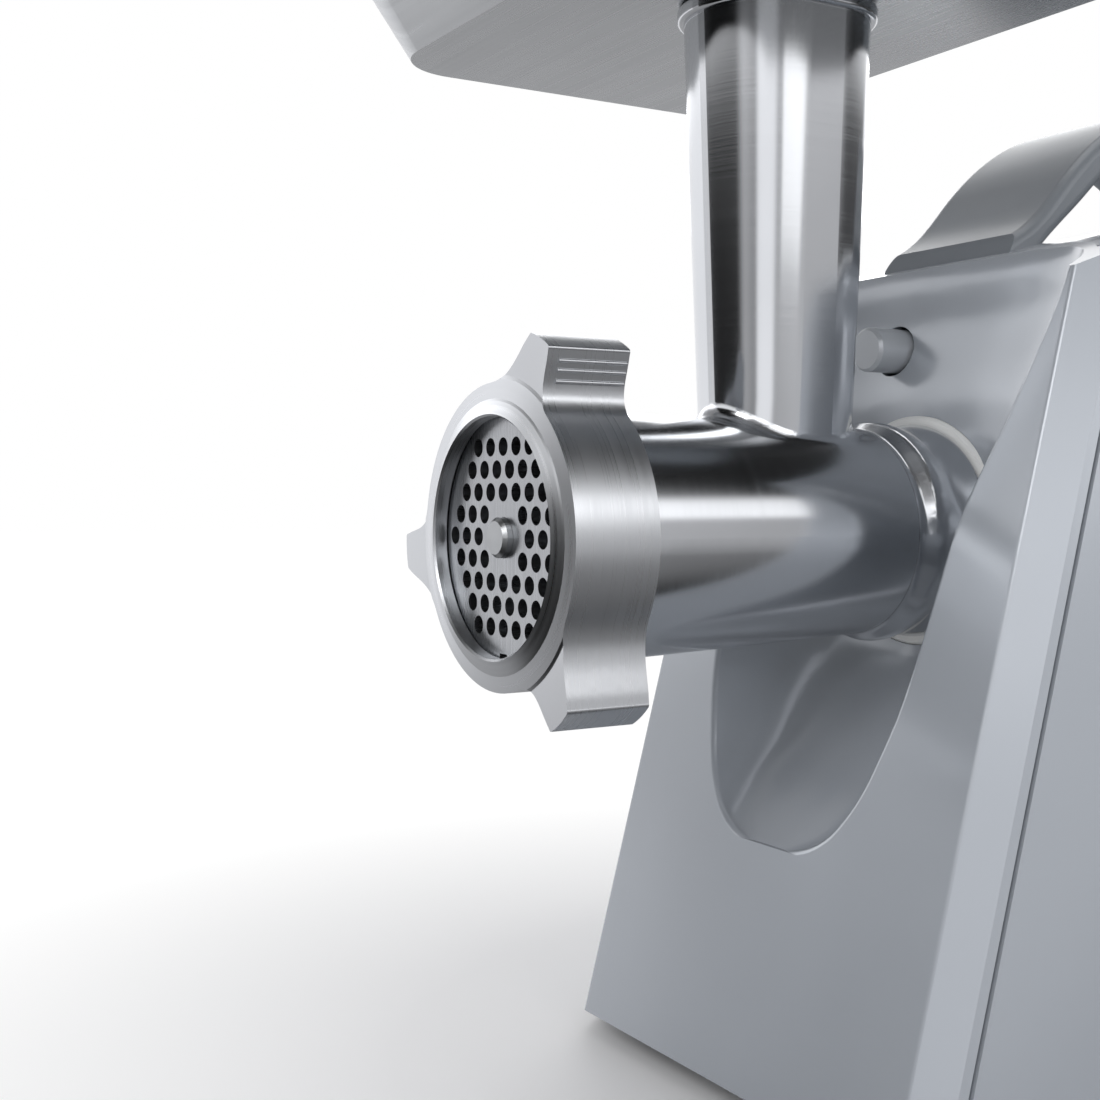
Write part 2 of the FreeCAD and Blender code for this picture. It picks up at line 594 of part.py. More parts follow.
def recess(grow):
    """The scooped pocket open at the front and the top, as a solid."""
    rows = [(-84.3, 8.5, 84.0), (-82.4, 15.0, 86.5), (-78.5, 21.5, 91.5), (-72, 27.0, 99.5), (-65, 31.0, 108.0), (-57, 34.0, 116.0), (-46, 37.4, 126.0), (-36, 39.4, 133.2), (-20, 41.6, 135.3), (-6, 43.2, 135.3), (10, 46.6, 135.3), (26, 52.6, 135.4), (37, 56.2, 136.2), (48, 59.6, 138.6), (60, 62.6, 140.8), (74, 66.0, 142.2), (95, 71.0, 145.4)]
    ws = []
    for z, w, yr in rows:
        yf = front_y(z)
        w, yr = w + grow, yr + grow
        zz = z - grow * (0.9 if z < -40 else 0)
        d = yr - yf
        P = lambda x, y: Vector(x, y, zz)
        flat = min(0.62, 0.30 + 0.004 * (z + 84.5))
        pts = [(-w, yf), (-w * 0.965, yf + 0.36 * d), (-w * 0.85, yf + 0.72 * d), (-w * flat * 0.9, yf + 0.965 * d), (0, yr), (w * flat * 0.9, yf + 0.965 * d), (w * 0.85, yf + 0.72 * d), (w * 0.965, yf + 0.36 * d), (w, yf)]
        ws.append(Part.Wire([Part.LineSegment(P(w, yf), P(w, yf - 17.3 - grow)).toShape(), Part.LineSegment(P(w, yf - 17.3 - grow), P(-w, yf - 17.3 - grow)).toShape(), Part.LineSegment(P(-w, yf - 17.3 - grow), P(-w, yf)).toShape(), spline([P(x, y) for x, y in pts])]))
    return Part.makeLoft(ws, True, False)


def slab(y_off0, y_off1, x0=-130, x1=130):
    """Everything between two planes that lean with the front face."""
    z0, z1 = -170.0, 120.0
    P = lambda y, z: Vector(x0, y, z)
    pts = [P(front_y(z0) + y_off0, z0), P(front_y(z0) + y_off1, z0), P(front_y(z1) + y_off1, z1), P(front_y(z1) + y_off0, z1)]
    return Part.Face(Part.makePolygon(pts + [pts[0]])).extrude(Vector(x1 - x0, 0, 0))


W = v("wall")
outer, inner = housing(0.0), housing(W)
shell = outer.cut(inner)
print("shell", shell.isValid(), len(shell.Solids), shell.Volume)
scoop = recess(0.0)
liner = recess(W).common(outer)
seam = v("seam")
front_part = shell.common(slab(-60, seam)).cut(scoop)
scoop_skin = liner.cut(scoop)
if scoop_skin.Volume < 50000:
    raise RuntimeError("the scoop has no lining")
tongue = housing(W + 0.06).cut(housing(W + 1.8)).common(slab(seam - 3.0, seam + 6.0)).cut(liner).cut(Part.makeBox(300, 400, 20, Vector(-150, 0, v("housing_bottom") - 14)))
front_shell = front_part.fuse(scoop_skin).removeSplitter()
hole = Part.makeCylinder(v("socket_rad") + 0.05, 40, Vector(0, 120, 0), Vector(0, 1, 0))
bh = Part.makeCylinder(v("button_rad") + 0.9, 40, Vector(v("button_x"), 125, v("button_z")), Vector(0, 1, 0))
front_shell = front_shell.cut(hole).cut(bh)
print("front", front_shell.isValid(), len(front_shell.Solids), front_shell.Volume)
rear_full = shell.common(slab(seam + v("groove"), 400))
rear = rear_full.cut(recess(W + 0.05))
print("REAR full %.0f opened %.0f" % (rear_full.Volume, rear.Volume))
if rear_full.Volume - rear.Volume < 100:
    raise RuntimeError("the rear shell is not opened for the scoop")


def rounded(shape, radius, pick):
    """Rounds the picked edges one by one, leaving out any that can't take the radius."""
    for trial in range(24):
        done = True
        for e in shape.Edges:
            if e.Length < 12 or not pick(e):
                continue
            key = (round(e.Length, 1), round(e.CenterOfMass.x, 1), round(e.CenterOfMass.z, 1))
            if key in SKIP:
                continue
            SKIP.add(key)
            try:
                t = shape.makeFillet(radius, [e])
                if t.isValid() and len(t.Solids) == 1 and abs(t.Volume - shape.Volume) < 1500:
                    print("rounded", round(e.Length, 1), key)
                    shape = t
                    done = False
                    break
            except Exception as ex:
                print("not rounded", key, ex)
        if done:
            break
    return shape


SKIP = set()


def on_face(e):
    for t in (0.08, 0.35, 0.65, 0.92):
        q = e.valueAt(e.FirstParameter + (e.LastParameter - e.FirstParameter) * t)
        if abs(q.y - front_y(q.z)) > 0.25 or q.z < v("housing_bottom") + 1:
            return False
    return True


front_shell = rounded(front_shell, 1.6, on_face)
print("rounded front", front_shell.isValid(), front_shell.Volume)


# ------------------------------------------------------------------ carry handle
def make_handle():
    up = [(139.5, 70.0), (141.5, 76.0), (153, 84), (170, 100), (190, 116), (216, 125), (242, 121), (264, 105), (279, 82), (285, 58)]
    lowr = [(276, 58), (270, 79), (257, 97), (238, 111), (216, 115.5), (194, 108), (176, 93), (161, 80), (152, 70)]
    hw = v("handle_w") / 2
    U = [Vector(-hw, y, z) for y, z in up]
    L = [Vector(-hw, y, z) for y, z in lowr]
    w = Part.Wire([spline(U), Part.LineSegment(U[-1], L[0]).toShape(), spline(L), Part.LineSegment(L[-1], U[0]).toShape()])
    s = Part.Face(w).extrude(Vector(2 * hw, 0, 0))
    long_edges = [e for e in s.Edges if e.BoundBox.YLength > 60]
    for r in (3.0, 2.0, 1.2):
        try:
            t = s.makeFillet(r, long_edges)
            if t.isValid():
                print("handle fillet", r)
                return t
        except Exception as ex:
            print("handle", r, ex)
    return s


handle = make_handle()
handle = handle.cut(inner).cut(recess(W + 0.2))
solids = sorted(handle.Solids, key=lambda s: -s.Volume)
handle = solids[0]
node("carry_handle", free(handle))
rear = rear.cut(handle)
front_shell = front_shell.fuse(tongue).cut(handle)
solids = sorted(front_shell.Solids, key=lambda s: -s.Volume)
front_shell = solids[0]
node("front_shell", free(front_shell))

py, pz = v("switch_y"), v("switch_z")
rear_l = rear.common(Part.makeBox(130, 400, 400, Vector(-130, 0, -200)))
rear_r = rear.common(Part.makeBox(130, 400, 400, Vector(0, 0, -200)))
panel = Part.makeBox(30, 50.2, 86.2, Vector(-100, py - 25.1, pz - 43.1))
rear_l = rear_l.cut(panel)
vents = []
for s in (-1, 1):
    for i in range(7):
        vents.append(Part.makeBox(30, 3.0, 44, Vector(s * 85 - 15, 214 + 8 * i, -118)))
for i in range(9):
    vents.append(Part.makeBox(3.0, 30, 40, Vector(-33.5 + 8 * i, 280, -110)))
gl = Part.makeCylinder(7.05, 40, Vector(52, 270, -128), Vector(0, 1, 0))
rear_l = rear_l.cut(Part.makeCompound(vents)).cut(gl)
rear_r = rear_r.cut(Part.makeCompound(vents)).cut(gl)
for nm, r in (("left_shell", rear_l), ("right_shell", rear_r)):
    solids = sorted(r.Solids, key=lambda s: -s.Volume)
    print(nm, [round(s.Volume) for s in solids][:5])
    node(nm, free(solids[0]))
floor_loft = Part.makeLoft([level(v("housing_bottom") + 0.2, W + 0.3), level(v("housing_bottom") + 3.2, W + 0.3)], True, True)
for x in (-58, 58):
    for y in (92, 268):
        floor_loft = floor_loft.cut(Part.makeCylinder(2.5, 12, Vector(x, y, v("housing_bottom") - 4), Vector(0, 0, 1)))
FEET = [(-58, 92), (58, 92), (-58, 268), (58, 268)]
foot = [(0, -6.0), ("dims.foot_rad - 1", -6.0), ("dims.foot_rad", -5.0), ("dims.foot_rad - 1.5", 0.15), (2.4, 0.15), (2.4, 3.25), (3.6, 3.3), (2.0, 6.4), (0, 6.4)]
node("rubber_feet", fuse(*[turned("foot%d" % i, foot, (x, y, "dims.housing_bottom"), "z") for i, (x, y) in enumerate(FEET)]))
BOSS = [(-70, 118), (70, 118), (-72, 246), (72, 246)]
node("base_screws", fuse(*[turned("bs%d" % i, [(0, -1.6), (3.2, -1.6), (3.2, 0.0), (1.5, 0.15), (1.5, 12.0), (0, 12.0)], (x * 0.6, 140 + 80 * (i // 2), "dims.housing_bottom"), "z") for i, (x, y) in enumerate(BOSS)]))
fl = floor_loft
for i, (x, y) in enumerate(BOSS):
    fl = fl.cut(Part.makeCylinder(1.5, 20, Vector(x * 0.6, 140 + 80 * (i // 2), v("housing_bottom") - 5), Vector(0, 0, 1)))
node("base_plate", free(fl))

# socket ring, latch and release button
node("socket_ring", turned("ring", [("dims.spigot_rad + 0.35", 134.8), ("dims.spigot_rad + 1.4", 134.3), ("dims.socket_rad - 0.8", 134.3), ("dims.socket_rad", 135.1), ("dims.socket_rad", 150.6), ("dims.spigot_rad + 0.35", 150.6)]))
BX, BZ = "dims.button_x", "dims.button_z"
node("release_button", turned("rel", [(0, 0), ("dims.button_rad - 0.9", 0), ("dims.button_rad", 0.9), ("dims.button_rad", 22.0), ("dims.button_rad + 2.5", 22.0), ("dims.button_rad + 2.5", 23.5), (3.0, 23.5), (3.0, 42.0), (0, 42.0)], (BX, "dims.button_tip", BZ)))
node("spring_stop", cut(box(26, 2.0, 24, (BX, 164.0, 40.0), "x"), cyl(3.4, 10, (BX, 160.0, BZ))))


def coil(rm, rw, pitch, length):
    """A round wire wound about +Y from the origin."""
    pipe = Part.BRepOffsetAPI.MakePipeShell(Part.Wire(Part.makeHelix(pitch, length, rm)))
    pipe.setBiNormalMode(Vector(0, 0, 1))
    pipe.add(Part.Wire(Part.makeCircle(rw, Vector(rm, 0, 0), Vector(0, 1, 0))), False, False)
    pipe.build()
    pipe.makeSolid()
    s = pipe.shape()
    s.rotate(Vector(0, 0, 0), Vector(1, 0, 0), -90)
    return s


wire = coil(4.4, 0.5, 2.2, 11.2)
wire.translate(Vector(v("button_x"), 152.15, v("button_z")))
node("latch_spring", free(wire))

# control panel on the left side
cy_, cz_ = "dims.switch_y", "dims.switch_z"
bez = box(8.0, 50.0, 86.0, (-89.6, cy_, cz_), "yz")
node("control_bezel", cut(bez, box(20, 30.6, 30.6, (-95, cy_, "dims.switch_z + 18"), "yz"), box(20, 30.6, 22.6, (-95, cy_, "dims.switch_z - 20"), "yz")))
node("power_button", fuse(box(9.0, 30, 30, (-92.2, cy_, "dims.switch_z + 18"), "yz"), box(1.6, 34, 34, (-81.0, cy_, "dims.switch_z + 18"), "yz"), box(4.0, 30, 30, (-84.0, cy_, "dims.switch_z + 18"), "yz")))
node("reverse_button", fuse(box(9.0, 30, 22, (-92.2, cy_, "dims.switch_z - 20"), "yz"), box(1.6, 34, 26, (-81.0, cy_, "dims.switch_z - 20"), "yz"), box(4.0, 30, 22, (-84.0, cy_, "dims.switch_z - 20"), "yz")))
node("switch_board", box(1.6, 46.0, 84.0, (-61.6, cy_, cz_), "yz"))
node("power_switch", fuse(box(9.0, 20, 16, (-70.6, cy_, "dims.switch_z + 18"), "yz"), box(4.4, 5, 8, (-75.0, cy_, "dims.switch_z + 18"), "yz")))
node("reverse_switch", fuse(box(9.0, 20, 12, (-70.6, cy_, "dims.switch_z - 20"), "yz"), box(4.4, 5, 6, (-75.0, cy_, "dims.switch_z - 20"), "yz")))
node("board_posts", fuse(*[cyl(2.2, 20.0, (-81.6, "dims.switch_y + %d" % a, "dims.switch_z + %d" % b), "x") for a in (-20, 20) for b in (-37, 39)]))
node("cord_gland", cut(cyl(7.0, 20.0, (52, 272.0, -128)), cyl(3.6, 40.0, (52, 260.0, -128))))


# ------------------------------------------------------------------ gears
def gear_shape(n, m, y0, y1, bore, zc, phase, add, slack):
    """Spur gear about the line x = 0, z = zc along Y; phase is the first tooth's angle from the top."""
    rp = m * n / 2.0
    rb = rp * math.cos(math.radians(20))
    ra, rf = rp + add * m, rp - 1.3 * m
    inv = lambda a: math.tan(a) - a
    half = (math.pi * m / 2 - slack) / (2 * rp)

    def ang(r):
        a = math.acos(min(1.0, rb / r))
        return half + inv(math.radians(20)) - inv(a)

    rs = [max(rb, rf + 0.05) + (ra - max(rb, rf + 0.05)) * t for t in (0.0, 0.3, 0.65, 1.0)]
    pts = []
    for i in range(n):
        c = math.radians(phase + 360.0 * i / n)
        base = half + inv(math.radians(20))
        tooth = [(-base, rf)] + [(-ang(r), r) for r in rs] + [(ang(r), r) for r in reversed(rs)] + [(base, rf)]
        for d, r in tooth:
            pts.append(Vector(r * math.sin(c + d), y0, zc + r * math.cos(c + d)))
    s = Part.Face(Part.makePolygon(pts + [pts[0]])).extrude(Vector(0, y1 - y0, 0))
    return s.cut(Part.makeCylinder(bore, y1 - y0 + 2, Vector(0, y0 - 1, zc), Vector(0, 1, 0)))


M1, M2 = v("gear_m1"), v("gear_m2")
ZI = -M2 * 32.0
ZM = ZI - M1 * 34.0
node("output_gear", free(gear_shape(52, M2, 160.0, 170.0, 8.0, 0.0, 180.0 / 52, 0.8, 0.22)))
node("second_stage_pinion", free(gear_shape(12, M2, 159.4, 171.5, 4.0, ZI, 0.0, 1.0, 0.22)))
node("first_stage_gear", free(gear_shape(56, M1, 173.5, 179.5, 4.0, ZI, 180.0 / 56, 0.8, 0.2)))
node("motor_pinion", free(gear_shape(12, M1, 172.8, 180.5, 3.0, ZM, 0.0, 1.0, 0.2)))
out_disc = revolve_y([(0, 151.0), (17.0, 151.0), (17.0, 154.5), (8.0, 154.5), (8.0, 188.5), (7.0, 189.5), (0, 189.5)])
for k in range(2):
    out_disc = out_disc.fuse(sector(8.5, 17.0, 90 + 180 * k - 44, 90 + 180 * k + 44, 143.0, 151.5))
node("output_shaft", free(out_disc.removeSplitter()))
node("layshaft", cyl(4.0, 36.0, (0, 153.5, ZI)))
node("output_bushes", fuse(cut(cyl(10.0, 3.8, (0, 155.2, 0)), cyl(8.05, 9, (0, 153, 0))), cut(cyl(10.0, 3.5, (0, 183.5, 0)), cyl(8.05, 9, (0, 181, 0)))))
node("layshaft_bushes", fuse(cut(cyl(6.0, 2.5, (0, 155.2, ZI)), cyl(4.05, 9, (0, 153, ZI))), cut(cyl(6.0, 3.5, (0, 183.5, ZI)), cyl(4.05, 9, (0, 181, ZI)))))


def plate_with(y0, y1, holes, posts=()):
    pts = [(-42, 40), (42, 40), (46, 30), (46, -96), (36, -104), (-36, -104), (-46, -96), (-46, 30)]
    ps = [Vector(x, y0, z) for x, z in pts]
    s = Part.Face(Part.makePolygon(ps + [ps[0]])).extrude(Vector(0, y1 - y0, 0))
    for x, z, r in holes:
        s = s.cut(Part.makeCylinder(r, y1 - y0 + 4, Vector(x, y0 - 2, z), Vector(0, 1, 0)))
    return s


SC = [(-38, 32), (38, 32), (-39, -95), (39, -95)]
case = plate_with(155.2, 159.0, [(0, 0, 10.0), (0, ZI, 6.0)])
ringw = plate_with(159.0, 183.5, [])
rim_in = Part.Face(Part.makePolygon([Vector(x, 150, z) for x, z in [(-37.5, 36.5), (37.5, 36.5), (43, 29), (43, -91), (33, -101), (-33, -101), (-43, -91), (-43, 29), (-37.5, 36.5)]])).extrude(Vector(0, 60, 0))
rim_in = rim_in.common(Part.makeBox(200, 24.5, 300, Vector(-100, 159.0, -150)))
case = case.fuse(ringw.cut(rim_in))
for x, z in SC:
    case = case.fuse(Part.makeCylinder(4.5, 24.5, Vector(x, 159.0, z), Vector(0, 1, 0)))
collar = Part.makeCylinder(35.5, 5.2, Vector(0, 150.8, 0), Vector(0, 1, 0)).cut(Part.makeCylinder(18.0, 12, Vector(0, 148, 0), Vector(0, 1, 0)))
case = case.fuse(collar).cut(Part.makeCylinder(10.0, 20, Vector(0, 150, 0), Vector(0, 1, 0)).common(Part.makeBox(80, 20, 80, Vector(-40, 155.2, -40))))
case = case.cut(Part.makeCylinder(17.6, 4.4, Vector(0, 150.8, 0), Vector(0, 1, 0)))
case = case.cut(Part.makeCylinder(6.0, 3.9, Vector(0, 155.15, ZI), Vector(0, 1, 0)))
for x, z in SC:
    case = case.cut(Part.makeCylinder(1.5, 18, Vector(x, 168, z), Vector(0, 1, 0)))
print("case", len(case.Solids), case.isValid())
node("gearbox_case", free(case.removeSplitter()))
cover = plate_with(183.5, 187.0, [(0, 0, 10.0), (0, ZI, 6.0), (0, ZM, 8.0)] + [(x, z, 1.5) for x, z in SC])
node("gearbox_cover", free(cover))
node("gearbox_screws", fuse(*[fuse(cyl(1.5, 16.0, (x, 171.0, z)), cyl(3.0, 2.2, (x, 187.0, z))) for x, z in SC]))

# motor
RM, Y0 = "dims.motor_rad", "dims.motor_y0"
node("rotor_shaft", cyl(3.0, 112.0, (0, 172.0, ZM)))
stack = cut(cyl(RM, "dims.motor_len", (0, Y0, ZM)), cyl(21.5, 80, (0, "dims.motor_y0 - 10", ZM)), box(9, 80, 12, ("-33.0", "dims.motor_y0 - 10", ZM), "xz"), box(9, 80, 12, (33.0, "dims.motor_y0 - 10", ZM), "xz"), cyl(2.0, 80, (25, "dims.motor_y0 - 10", ZM + 21)), cyl(2.0, 80, (-25, "dims.motor_y0 - 10", ZM + 21)))
node("stator_stack", stack)
ENDS = [("dims.motor_y0 - 8.2", 8.2), ("dims.motor_y0 + dims.motor_len", 8.6)]
node("field_windings", fuse(*[cut(fuse(cut(cyl(33.5, L, (0, a, ZM)), cyl(23.0, 60, (0, "dims.motor_y0 - 20", ZM)), box(14, 80, 90, (0, "dims.motor_y0 - 20", ZM), "xz"))), cyl(23.0, 90, (0, "dims.motor_y0 - 20", ZM))) for a, L in ENDS]))
slots = [cyl(2.6, 60, ("17.2 * sin(%d deg)" % (30 * i), "dims.motor_y0 - 5", "%.4f + 17.2 * cos(%d deg)" % (ZM, 30 * i))) for i in range(12)]
node("rotor_core", cut(cyl(20.9, "dims.motor_len", (0, Y0, ZM)), cyl(3.0, 80, (0, "dims.motor_y0 - 10", ZM)), *slots))
node("rotor_windings", cut(fuse(cone(9.0, 17.5, 8.0, (0, "dims.motor_y0 - 8", ZM)), cone(17.5, 9.0, 8.0, (0, "dims.motor_y0 + dims.motor_len", ZM))), cyl(3.0, 90, (0, "dims.motor_y0 - 20", ZM))))
node("commutator", cut(cyl(10.5, 13.0, (0, 247.5, ZM)), cyl(3.0, 30, (0, 240, ZM))))
node("carbon_brushes", cut(fuse(box(12, 6, 5, (17.0, 251.0, ZM), "xz"), box(12, 6, 5, (-17.0, 251.0, ZM), "xz")), cyl(10.55, 30, (0, 240, ZM))))
node("brush_holders", cut(fuse(box(18, 9, 8, (21.5, 249.5, ZM), "xz"), box(18, 9, 8, (-21.5, 249.5, ZM), "xz")), box(26, 6, 5, (24.0, 251.0, ZM), "xz"), box(26, 6, 5, (-24.0, 251.0, ZM), "xz")))
node("bearings", fuse(cut(cyl(8.0, 5.0, (0, 182.5, ZM)), cyl(3.05, 30, (0, 175, ZM))), cut(cyl(8.0, 6.0, (0, 264.0, ZM)), cyl(3.05, 30, (0, 255, ZM)))))
rb = cut(fuse(box(84, 6, 24, (0, 264.0, ZM), "xz"), box(6, 26, 22, (39.0, 238.0, ZM), "xz"), box(6, 26, 22, (-39.0, 238.0, ZM), "xz"), box(12, 4.2, 8, (30.5, 249.5, ZM), "xz"), box(12, 4.2, 8, (-30.5, 249.5, ZM), "xz")), cyl(8.0, 30, (0, 255, ZM)), cyl(RM, "dims.motor_len", (0, Y0, ZM)), box(61, 12, 8, (0, 249.5, ZM), "xz"))
node("rear_bracket", rb)
node("front_bracket", cut(fuse(box(6, 14.0, 22, (39.0, 187.0, ZM), "xz"), box(6, 14.0, 22, (-39.0, 187.0, ZM), "xz")), cyl(RM, "dims.motor_len", (0, Y0, ZM))))
fan_s = Part.makeCylinder(28.0, 1.6, Vector(0, 272.0, ZM), Vector(0, 1, 0)).fuse(Part.makeCylinder(7.0, 9.0, Vector(0, 272.0, ZM), Vector(0, 1, 0)))
for k in range(9):
    bl = Part.makeBox(1.4, 9.0, 19.0, Vector(-0.7, 272.0, ZM + 6.0))
    bl.rotate(Vector(0, 0, ZM), Vector(0, 1, 0), 40 * k)
    fan_s = fan_s.fuse(bl)
fan_s = fan_s.cut(Part.makeCylinder(3.0, 30, Vector(0, 262, ZM), Vector(0, 1, 0)))
node("cooling_fan", free(fan_s.removeSplitter()))
node("motor_cradle", cut(box(70, 30, 36, (0, 202.0, -142.75), "x"), cyl("dims.motor_rad + 0.05", 90, (0, 170, ZM)), box(40, 60, 24, (0, 190.0, -142.7), "x")))
# ------------------------------------------------------------------ check and write
doc.recompute()
bad = [o.Name + " " + str(o.State) for o in doc.Objects if any(s in ("Invalid", "Error") for s in o.State)]
if bad:
    raise SystemExit("failed objects: %s" % bad)
os.makedirs("parts", exist_ok=True)
for old in os.listdir("parts"):
    if old.endswith(".step"):
        os.remove(os.path.join("parts", old))
for name, obj in sorted(NODES.items()):
    shp = obj.Shape
    if shp.isNull() or not shp.isValid() or shp.Volume <= 0:
        raise SystemExit("bad shape %s null=%s valid=%s vol=%s" % (name, shp.isNull(), shp.isNull() or shp.isValid(), 0 if shp.isNull() else shp.Volume))
    b = shp.BoundBox
    print("%-22s solids %d vol %9.1f  x %.1f..%.1f y %.1f..%.1f z %.1f..%.1f" % (name, len(shp.Solids), shp.Volume, b.XMin, b.XMax, b.YMin, b.YMax, b.ZMin, b.ZMax))
    shp.exportStep("parts/%s.step" % name)
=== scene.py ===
import bpy
import bmesh
import math
from mathutils import Vector, Matrix


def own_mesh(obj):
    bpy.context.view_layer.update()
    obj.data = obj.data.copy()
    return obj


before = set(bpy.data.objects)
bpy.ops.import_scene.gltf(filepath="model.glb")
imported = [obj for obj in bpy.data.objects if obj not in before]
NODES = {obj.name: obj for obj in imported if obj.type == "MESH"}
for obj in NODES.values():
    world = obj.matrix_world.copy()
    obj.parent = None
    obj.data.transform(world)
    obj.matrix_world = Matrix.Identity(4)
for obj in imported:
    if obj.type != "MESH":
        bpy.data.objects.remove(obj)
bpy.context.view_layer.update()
scene = bpy.context.scene
OY, OZ = -0.15005, 0.152          # the barrel axis: y = 0 at the ring nut's face, z = axis height


def lin(c):
    """sRGB bytes to linear."""
    out = []
    for v in c:
        v = v / 255.0
        out.append(v / 12.92 if v <= 0.04045 else ((v + 0.055) / 1.055) ** 2.4)
    return tuple(out) + (1.0,)


# ------------------------------------------------------------------ materials
class Mat:
    """A principled material with object-space procedural colour, roughness and bump."""

    def __init__(self, name, metallic=0.0, rough=0.4, **sockets):
        self.m = bpy.data.materials.new(name)
        self.m.use_nodes = True
        self.nt = self.m.node_tree
        self.b = self.nt.nodes["Principled BSDF"]
        self.b.inputs["Metallic"].default_value = metallic
        self.b.inputs["Roughness"].default_value = rough
        for k, val in sockets.items():
            self.b.inputs[k.replace("_", " ")].default_value = val
        self.co = self.nt.nodes.new("ShaderNodeTexCoord")
        self.last_normal = None

    def add(self, kind, **kw):
        n = self.nt.nodes.new(kind)
        for k, val in kw.items():
            setattr(n, k, val)
        return n

    def link(self, a, b):
        self.nt.links.new(a, b)

    def mapped(self, scale=(1, 1, 1), rot=(0, 0, 0)):
        mp = self.add("ShaderNodeMapping")
        mp.inputs["Scale"].default_value = scale
        mp.inputs["Rotation"].default_value = rot
        self.link(self.co.outputs["Object"], mp.inputs["Vector"])
        return mp.outputs["Vector"]

    def noise(self, scale, detail=3.0, vec=None, rough=0.5):
        n = self.add("ShaderNodeTexNoise")
        n.inputs["Scale"].default_value = scale
        n.inputs["Detail"].default_value = detail
        n.inputs["Roughness"].default_value = rough
        self.link(vec if vec is not None else self.co.outputs["Object"], n.inputs["Vector"])
        return n.outputs["Fac"]

    def ramp(self, fac, stops):
        r = self.add("ShaderNodeValToRGB")
        el = r.color_ramp.elements
        while len(el) < len(stops):
            el.new(0.5)
        for e, (p, c) in zip(el, stops):
            e.position = p
            e.color = c if len(c) == 4 else tuple(c) + (1.0,)
        self.link(fac, r.inputs["Fac"])
        return r.outputs["Color"]

    def span(self, fac, lo, hi, a=0.3, b=0.7):
        r = self.add("ShaderNodeMapRange")
        r.inputs["From Min"].default_value = a
        r.inputs["From Max"].default_value = b
        r.inputs["To Min"].default_value = lo
        r.inputs["To Max"].default_value = hi
        self.link(fac, r.inputs["Value"])
        return r.outputs["Result"]

    def colour(self, fac, dark, light, a=0.3, b=0.7):
        self.link(self.ramp(fac, [(a, dark), (b, light)]), self.b.inputs["Base Color"])
        return self

    def roughness(self, fac, lo, hi, a=0.3, b=0.7):
        self.link(self.span(fac, lo, hi, a, b), self.b.inputs["Roughness"])
        return self

    def bump(self, fac, strength, dist):
        n = self.add("ShaderNodeBump")
        n.inputs["Strength"].default_value = strength
        n.inputs["Distance"].default_value = dist
        self.link(fac, n.inputs["Height"])
        if self.last_normal is not None:
            self.link(self.last_normal, n.inputs["Normal"])
        self.last_normal = n.outputs["Normal"]
        self.link(self.last_normal, self.b.inputs["Normal"])
        return self


def tone(c, k):
    return tuple(min(1.0, v * k) for v in c[:3]) + (1.0,)


def plastic(name, rgb, rough, vary=0.05, grain=1500.0, grain_depth=0.00002, strength=0.12, coat=0.0, metallic=0.0, spec=0.5):
    m = Mat(name, metallic, rough)
    c = lin(rgb)
    m.colour(m.noise(14.0, 4.0), tone(c, 1 - vary), tone(c, 1 + vary))
    m.roughness(m.noise(38.0, 2.0), rough - 0.02, rough + 0.025)
    m.bump(m.noise(grain, 2.0), strength, grain_depth)
    m.b.inputs["Coat Weight"].default_value = coat
    m.b.inputs["Coat Roughness"].default_value = 0.12
    m.b.inputs["Specular IOR Level"].default_value = spec
    return m.m


def metal(name, rgb, rough, brush=None, vary=0.06, cast=0.0, aniso=0.0):
    """brush: the scale vector of fine lines in object space, long axis small."""
    m = Mat(name, 1.0, rough)
    c = lin(rgb)
    m.colour(m.noise(22.0, 5.0), tone(c, 1 - vary), tone(c, 1 + vary))
    if brush:
        lines = m.noise(1.0, 2.5, m.mapped(brush), 0.55)
        m.roughness(lines, max(0.04, rough - 0.04), rough + 0.05)
        m.bump(lines, 0.07, 0.00001)
    else:
        m.roughness(m.noise(90.0, 6.0), max(0.04, rough - 0.05), rough + 0.08)
    if cast:
        m.bump(m.noise(55.0, 5.0), cast, 0.0006)
    m.bump(m.noise(700.0, 2.0), 0.06, 0.00002)
    m.b.inputs["Anisotropic"].default_value = aniso
    return m.m


def head_material():
    """Bright drawn metal: around the barrel the lines run round its axis, on the tube they run round the tube."""
    m = Mat("head_bright", 1.0, 0.16)
    c = lin((208, 210, 213))
    m.colour(m.noise(18.0, 5.0), tone(c, 0.93), tone(c, 1.03))
    lines = m.noise(1.0, 4.0, m.mapped((10, 2600, 10)), 0.7)
    ring = m.noise(1.0, 4.0, m.mapped((10, 10, 2600)), 0.7)
    sep = m.add("ShaderNodeSeparateXYZ")
    m.link(m.co.outputs["Object"], sep.inputs["Vector"])
    sw = m.span(sep.outputs["Z"], 0.0, 1.0, OZ + 0.030, OZ + 0.040)
    mix = m.add("ShaderNodeMix", data_type="FLOAT")
    m.link(sw, mix.inputs[0])
    m.link(lines, mix.inputs[2])
    m.link(ring, mix.inputs[3])
    m.roughness(mix.outputs[0], 0.13, 0.19)
    m.bump(mix.outputs[0], 0.04, 0.000006)
    return m.m


